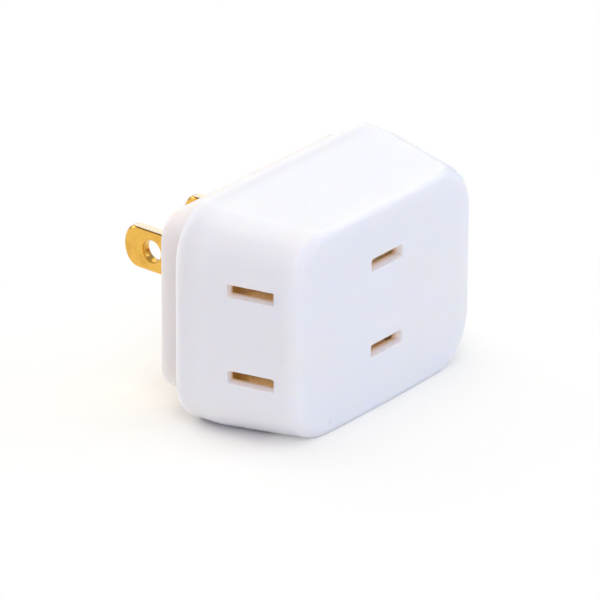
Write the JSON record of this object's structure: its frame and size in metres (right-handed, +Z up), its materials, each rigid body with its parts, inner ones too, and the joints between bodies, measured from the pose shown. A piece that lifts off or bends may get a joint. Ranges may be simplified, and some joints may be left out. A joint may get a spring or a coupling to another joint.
{
  "type": "travel plug adapter",
  "caption": "White moulded corner plug adapter with flat brass blades at the back and slotted outlets on its front and both sides.",
  "frame": {"origin": "on the surface it lies on, under the middle of its bounding box", "axes": "+X across the front face from the left outlet to the right one, +Y from the front face to the plug blades, +Z up; the plug axis rises towards +Y by the draft of the bottom face, about 3.1 degrees"},
  "size_m": [0.045, 0.0412, 0.032],
  "materials": {
    "white_plastic": "satin-gloss moulded, slightly translucent",
    "blade_brass": "bright stamped brass",
    "clip_bronze": "spring bronze, bright",
    "rivet_steel": "plain headed rivets"
  },
  "bodies": {
    "root": {"housing_shell": "white_plastic", "rear_cover": "white_plastic", "plug_blade_left": "blade_brass", "plug_blade_right": "blade_brass", "blade_rivet_left": "rivet_steel", "blade_rivet_right": "rivet_steel", "bus_strip_upper": "blade_brass", "bus_strip_lower": "blade_brass", "contact_clip_front_upper": "clip_bronze", "clip_rivet_front_upper": "rivet_steel", "contact_clip_front_lower": "clip_bronze", "clip_rivet_front_lower": "rivet_steel", "contact_clip_left_upper": "clip_bronze", "clip_rivet_left_upper": "rivet_steel", "contact_clip_left_lower": "clip_bronze", "clip_rivet_left_lower": "rivet_steel", "contact_clip_right_upper": "clip_bronze", "clip_rivet_right_upper": "rivet_steel", "contact_clip_right_lower": "clip_bronze", "clip_rivet_right_lower": "rivet_steel"}
  },
  "joints": []
}
